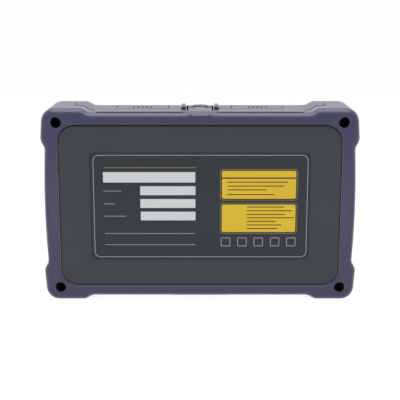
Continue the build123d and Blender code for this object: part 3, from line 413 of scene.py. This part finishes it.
def ink(shape, thickness, surface, side):
    """Gives flat shapes their thickness and lays them on a surface that faces +Y (1) or -Y (-1)."""
    bmesh.ops.solidify(shape, geom=shape.faces[:], thickness=thickness)
    depths = [vertex.co.y for vertex in shape.verts]
    shift = surface - min(depths) if side > 0 else surface - max(depths)
    bmesh.ops.translate(shape, verts=shape.verts, vec=(0.0, shift, 0.0))


mm = 0.001
ink_thickness = 0.04 * mm
print("ink is", round(ink_thickness / mm, 3), "mm thick")

# %% [markdown]
# The plate on the back carries a silver line frame, a gold rule, four white fields, two yellow panels and
# ruled lines. Its places are in millimetres from the middle of the plate, read across as x and up as z, and
# each row is a place and a size. The fields are blank, as on a plate before it is filled in.

# %% Layout of the plate
plate_low, plate_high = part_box("rear_label")
plate_x = (plate_low[0] + plate_high[0]) / 2
plate_z = (plate_low[2] + plate_high[2]) / 2
plate_face = plate_high[1]
white_fields = [
    (27.9, 16.4, 50.6, 5.8), (17.7, 8.9, 30.4, 5.0), (17.7, 1.7, 30.3, 5.0), (17.6, -5.4, 30.2, 4.9),
]
yellow_panels = [(-32.4, 12.2, 40.7, 15.6), (-32.4, -6.7, 40.7, 15.6)]
silver_rules = [
    (48.2, 8.7, 9.9), (49.9, 1.5, 6.4), (46.9, -5.5, 12.1), (27.7, -15.4, 50.0), (27.7, -21.8, 50.0),
]
check_boxes = [-14.2, -23.3, -32.4, -41.5, -50.5]
dark_rules = [(-31.7, 13.7, 33.2), (-30.7, 11.5, 31.2), (-25.7, 9.4, 21.2), (-28.1, 6.7, 26.0)]
second_panel_start = -25.9
second_panel = [
    (-0.3, 20.4), (-2.4, 24.8), (-4.5, 21.0), (-6.4, 26.0), (-8.4, 15.8), (-10.5, 19.2), (-12.5, 17.0),
]
dark_rules += [(second_panel_start - length / 2, level, length) for level, length in second_panel]
print("plate face at y =", round(plate_face / mm, 3), "mm")

# %% [markdown]
# Screen printing lays one colour after the other. The white and yellow areas are the first two passes. Each
# pass is one piece, because it has one ink.

# %% White and yellow areas
def on_plate(x, z):
    return plate_x + x * mm, plate_z + z * mm


def print_pass(name, shape, finish, thickness=ink_thickness, surface=plate_face):
    ink(shape, thickness, surface, 1)
    piece(name, shape, finish, "case")


shape = bmesh.new()
for x, z, width, height in white_fields:
    plate(shape, width * mm, height * mm, 0.25 * mm, *on_plate(x, z))
print_pass("label_white_fields", shape, "ink_white")

shape = bmesh.new()
for x, z, width, height in yellow_panels:
    plate(shape, width * mm, height * mm, 1.0 * mm, *on_plate(x, z))
print_pass("label_yellow_panels", shape, "ink_yellow")

# %% [markdown]
# The lines follow: gold round the yellow panels, silver for the frame, the rules and the boxes, and dark
# rules on the panels. The dark ink lies on the yellow one, so it starts a layer higher.

# %% Gold, silver and dark lines
panel_margin = 2.0
rule_height = 0.35 * mm

shape = bmesh.new()
for x, z, width, height in yellow_panels:
    size = (width + panel_margin) * mm, (height + panel_margin) * mm
    outline(shape, plate(shape, *size, 1.7 * mm, *on_plate(x, z)), 0.3 * mm)
plate(shape, 50.3 * mm, 0.42 * mm, 0.0, *on_plate(27.45, 21.75))
print_pass("label_gold_lines", shape, "ink_gold")

shape = bmesh.new()
outline(shape, plate(shape, 117.9 * mm, 57.8 * mm, 3.2 * mm, *on_plate(-0.3, -0.1)), 0.38 * mm)
for x, z, width in silver_rules:
    plate(shape, width * mm, rule_height, 0.0, *on_plate(x, z))
for x in check_boxes:
    outline(shape, plate(shape, 5.2 * mm, 5.0 * mm, 0.6 * mm, *on_plate(x, -20.2)), 0.4 * mm)
print_pass("label_silver_lines", shape, "ink_silver")

shape = bmesh.new()
plate(shape, 40.5 * mm, 0.75 * mm, 0.0, *on_plate(-32.4, 15.95))
for x, z, width in dark_rules:
    plate(shape, width * mm, 0.5 * mm, 0.0, *on_plate(x, z))
print_pass("label_dark_rules", shape, "ink_dark", 0.02 * mm, plate_face + ink_thickness)

# %% [markdown]
# Each key carries a plain mark in white ink. Triangles are circles of three corners. Rings and bent lines
# come from spinning one short edge about the middle of the key, which keeps their width even.

# %% Shapes for the marks
def triangle(shape, x, z, radius, turn):
    spot = upright(x, z) @ Matrix.Rotation(math.radians(turn), 4, "Z")
    bmesh.ops.create_circle(shape, cap_ends=True, segments=3, radius=radius, matrix=spot)


def bent_line(shape, x, z, radius, line, begin, sweep):
    middle = Vector((x, 0.0, z))
    facing = Vector((math.cos(math.radians(begin)), 0.0, math.sin(math.radians(begin))))
    reaches = (radius - line / 2, radius + line / 2)
    ends = [shape.verts.new(middle + facing * reach) for reach in reaches]
    edge = shape.edges.new(ends)
    bmesh.ops.spin(
        shape, geom=ends + [edge], cent=middle, axis=(0.0, -1.0, 0.0), angle=math.radians(sweep),
        steps=max(6, int(abs(sweep) / 9)), use_merge=abs(sweep) >= 360, use_duplicate=False,
    )


def key_mark(key, draw):
    low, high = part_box(key)
    shape = bmesh.new()
    draw(shape, (low[0] + high[0]) / 2, (low[2] + high[2]) / 2)
    bmesh.ops.remove_doubles(shape, verts=shape.verts, dist=1e-6)
    ink(shape, 0.05 * mm, low[1], -1)
    piece(key + "_mark", shape, "key_ink", key)


# %% [markdown]
# The marks are the usual ones: triangles for the directions, a ring for the middle key, three bars for a
# list, a bent arrow for going back, a ring and bar for power, and a larger triangle for starting. A mark
# rides on its own key, so it goes in with the key.

# %% Marks on the keys
stroke = 0.6 * mm


def mark_menu(shape, x, z):
    for level in (-1.5, 0.0, 1.5):
        plate(shape, 4.6 * mm, 0.7 * mm, 0.2 * mm, x, z + level * mm)


def mark_power(shape, x, z):
    bent_line(shape, x, z, 1.9 * mm, stroke, 125.0, 290.0)
    plate(shape, stroke, 2.0 * mm, 0.1 * mm, x, z + 1.5 * mm)


def mark_back(shape, x, z):
    bent_line(shape, x + 0.5 * mm, z, 1.4 * mm, stroke, -90.0, 180.0)
    plate(shape, 2.0 * mm, stroke, 0.0, x - 0.5 * mm, z + 1.4 * mm)
    triangle(shape, x - 1.9 * mm, z + 1.4 * mm, 1.1 * mm, 90.0)


key_mark("key_right", lambda shape, x, z: triangle(shape, x, z, 1.7 * mm, -90.0))
key_mark("key_up", lambda shape, x, z: triangle(shape, x, z, 1.7 * mm, 0.0))
key_mark("key_left", lambda shape, x, z: triangle(shape, x, z, 1.7 * mm, 90.0))
key_mark("key_down", lambda shape, x, z: triangle(shape, x, z, 1.7 * mm, 180.0))
key_mark("key_ok", lambda shape, x, z: bent_line(shape, x, z, 1.7 * mm, stroke, 0.0, 360.0))
key_mark("key_menu", mark_menu)
key_mark("key_power", mark_power)
key_mark("key_back", mark_back)
key_mark("key_test", lambda shape, x, z: triangle(shape, x, z, 2.0 * mm, -90.0))

# %% [markdown]
# The barrels of the optical ports are threaded for the nut of a connector. A Screw modifier could wind the
# thread, but one spin with a rise at every step does the same in a line: a small triangle climbs as it goes
# round.

# %% Threads on the optical ports
barrel_radius = 4.0 * mm
thread_pitch = 0.75 * mm
thread_height = 0.22 * mm
thread_root = 0.05 * mm
thread_turns = 5
steps_per_turn = 28


def thread(port):
    low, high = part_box(port)
    x, y = (low[0] + high[0]) / 2, (low[1] + high[1]) / 2
    foot = high[2] - 0.6 * mm - (thread_turns + 1) * thread_pitch
    root = barrel_radius - thread_root
    profile = [(root, 0.0), (barrel_radius + thread_height, 0.4), (root, 0.8)]
    shape = bmesh.new()
    ring = [shape.verts.new((x + reach, y, foot + rise * thread_pitch)) for reach, rise in profile]
    start_face = shape.faces.new(ring)
    bmesh.ops.spin(
        shape, geom=[start_face], cent=(x, y, 0.0), axis=(0.0, 0.0, 1.0),
        dvec=(0.0, 0.0, thread_pitch / steps_per_turn), angle=math.tau * thread_turns,
        steps=steps_per_turn * thread_turns, use_merge=False, use_duplicate=False,
    )
    bmesh.ops.holes_fill(shape, edges=[edge for edge in shape.edges if edge.is_boundary], sides=3)
    piece(port + "_thread", shape, "nickel", "case")


for port in ("power_meter_port", "reflectometer_port", "fault_locator_port"):
    thread(port)

# %% [markdown]
# In the data sockets the steel skin surrounds a plastic tongue with gilt contacts. The tongue's plastic is a
# sleeve that fits over the solid one, and the contacts are thin strips on its open face. Each is a cube with
# a narrow bevel, because a moulded or stamped edge is never sharp.

# %% Tongues and contacts of the data sockets
def block(shape, low, high, edge):
    middle = [(a + b) / 2 for a, b in zip(low, high)]
    size = [b - a for a, b in zip(low, high)]
    before = set(shape.edges)
    matrix = Matrix.Translation(middle) @ Matrix.Diagonal((*size, 1.0))
    bmesh.ops.create_cube(shape, size=1.0, matrix=matrix)
    fresh = [e for e in shape.edges if e not in before]
    bmesh.ops.bevel(shape, geom=fresh, offset=edge, affect="EDGES", segments=2, profile=0.5, material=-1)


def socket_tongue(socket, centre_y, half_x, half_y, drop, count, pitch):
    low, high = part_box(socket)
    x = (low[0] + high[0]) / 2
    top = high[2] - drop
    skin = 0.04 * mm
    face = centre_y - half_y - skin
    shape = bmesh.new()
    sleeve_low = (x - half_x - skin, face, low[2] + 1.02 * mm)
    sleeve_high = (x + half_x + skin, centre_y + half_y + skin, top + skin)
    block(shape, sleeve_low, sleeve_high, 0.12 * mm)
    piece(socket + "_tongue", shape, "seal_rubber", "case")
    shape = bmesh.new()
    half = 0.25 * pitch
    for index in range(count):
        at = x + (index - (count - 1) / 2) * pitch
        strip_low = (at - half, face - 0.06 * mm, top - 6.0 * mm)
        strip_high = (at + half, face, top - 0.5 * mm)
        block(shape, strip_low, strip_high, 0.02 * mm)
    piece(socket + "_contacts", shape, "contact_gold", "case")


socket_tongue("usb_a_socket", 1.14 * mm, 5.45 * mm, 0.9 * mm, 1.5 * mm, 4, 2.3 * mm)
socket_tongue("usb_c_socket", 0.0, 3.35 * mm, 0.35 * mm, 1.0 * mm, 8, 0.75 * mm)

# %% [markdown]
# Behind the torch lens sits a bright cup that throws the light forward, round a small lamp. Both are bodies
# of revolution, so each is one profile spun about the torch's axis. The cup's profile goes up its inside and
# down its outside, which gives it a wall.

# %% Reflector and lamp of the torch
def spun(name, profile, finish):
    shape = bmesh.new()
    points = [shape.verts.new((reach, 0.0, level)) for reach, level in profile]
    edges = [shape.edges.new(pair) for pair in zip(points, points[1:])]
    bmesh.ops.spin(
        shape, geom=points + edges, cent=(0.0, 0.0, 0.0), axis=(0.0, 0.0, 1.0), angle=math.tau, steps=40,
        use_merge=True, use_duplicate=False,
    )
    piece(name, shape, finish, "case", smooth=True)


lens_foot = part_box("torch_lens")[0][2]
board_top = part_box("torch_board")[1][2]
cup_base = board_top - 0.6 * mm
cup_rise = lens_foot - 0.1 * mm - cup_base
curve = [(2.5 + 1.7 * math.sqrt(k / 8), k / 8) for k in range(9)]
inside = [(reach * mm, cup_base + part * cup_rise) for reach, part in curve]
outside = [(reach + 0.1 * mm, level) for reach, level in reversed(inside)]
spun("torch_reflector", inside + outside + inside[:1], "mirror_coat")

lamp_radius = 1.5 * mm
lamp_rise = 0.7 * mm
lamp_foot = board_top - 0.05 * mm
angles = [math.radians(angle) for angle in range(0, 91, 15)]
dome = [(lamp_radius * math.cos(a), board_top + lamp_rise * math.sin(a)) for a in angles]
spun("torch_lamp", [(0.0, lamp_foot), (lamp_radius, lamp_foot)] + dome, "led_lamp")

# %% [markdown]
# The object stands in soft light before a white background. More lamps could make the background white, but
# would bleach the object. So the world is white where the camera and reflections look at it, and weaker
# where it lights the object, and dark rubber stays dark.

# %% World
def background(wire):
    seen = wire.node("ShaderNodeLightPath", {}, {}, "Is Camera Ray")
    mirrored = wire.node("ShaderNodeLightPath", {}, {}, "Is Glossy Ray")
    through = wire.node("ShaderNodeLightPath", {}, {}, "Is Transmission Ray")
    rays = {0: seen + mirrored, 1: through}
    return wire.node("ShaderNodeMath", {"operation": "ADD", "use_clamp": True}, rays)


white = (1.0, 1.0, 1.0, 1.0)
room_light = 0.36
world = bpy.data.worlds.new("studio")
bpy.context.scene.world = world
world.use_nodes = True
sky = Wire(world.node_tree)
sky_sockets = world.node_tree.nodes["Background"].inputs
sky.feed(sky_sockets["Color"], white)
sky.feed(sky_sockets["Strength"], room_light + background(sky) * (1 - room_light))
print("world:", world.name, "lights the object at", room_light)

# %% [markdown]
# The floor is a lit table: part of it glows in the same white, which also lights the boot from below, and the
# rest is matt paper, which keeps a faint shadow under the boot. The camera sees a larger share of the glow
# than the object does.

# %% Floor
glow_strength = 1.1
glow_share = 0.56
glow_share_seen = 0.85

shape = bmesh.new()
bmesh.ops.create_grid(shape, x_segments=4, y_segments=4, size=30.0)
mesh = bpy.data.meshes.new("floor")
shape.to_mesh(mesh)
shape.free()
floor = bpy.data.objects.new("floor", mesh)
floor.location.z = cad_box[0][2] - 0.0001
bpy.context.collection.objects.link(floor)
wire, sockets = start("floor_paper")
sockets["Base Color"].default_value = (0.82, 0.82, 0.82, 1.0)
sockets["Roughness"].default_value = 0.9
sockets["Specular IOR Level"].default_value = 0.0
paper = Wire(wire.tree, wire.tree.nodes["Principled BSDF"].outputs[0])
glow = wire.node("ShaderNodeEmission", {}, {"Color": white, "Strength": glow_strength})
share = glow_share + background(wire) * (glow_share_seen - glow_share)
blend = wire.node("ShaderNodeMixShader", {}, {0: share, 1: paper, 2: glow})
wire.feed(wire.tree.nodes["Material Output"].inputs["Surface"], blend)
mesh.materials.append(finishes["floor_paper"])
print("floor at", round(floor.location.z, 5))

# %% [markdown]
# One soft lamp overhead makes the up-facing rubber bright. A weak strip that lies low before the back lifts
# the lower half of the case and the print on it.

# %% Lamps
def soft_lamp(name, size, power, spot, aim):
    data = bpy.data.lights.new(name, "AREA")
    data.shape = "RECTANGLE"
    data.size, data.size_y = size
    data.energy = power
    lamp = bpy.data.objects.new(name, data)
    lamp.location = spot
    lamp.rotation_euler = (Vector(aim) - Vector(spot)).to_track_quat("-Z", "Y").to_euler()
    bpy.context.collection.objects.link(lamp)


soft_lamp("overhead", (0.8, 0.6), 7.6, (0.0, 0.05, 0.85), (0.0, 0.0, 0.05))
soft_lamp("low_strip", (0.5, 0.03), 0.10, (0.0, 0.20, 0.008), (0.0, 0.0, 0.02))
print("lamps:", [light.name for light in bpy.data.lights])

# %% [markdown]
# The camera stands behind the object, a little above it, as in the photograph. Its place, its aim and its
# lens follow from the outline of the object there.

# %% Camera
camera_data = bpy.data.cameras.new("camera")
camera_data.lens = 85.4
camera_data.sensor_width = 36.0
camera = bpy.data.objects.new("camera", camera_data)
camera.location = (0.0, 0.5302, 0.1706)
camera_aim = Vector((0.0, 0.0205, 0.05793))
camera.rotation_euler = (camera_aim - camera.location).to_track_quat("-Z", "Y").to_euler()
bpy.context.collection.objects.link(camera)
bpy.context.scene.camera = camera
bpy.context.scene.view_settings.view_transform = "Standard"
print("camera at", [round(value, 4) for value in camera.location])
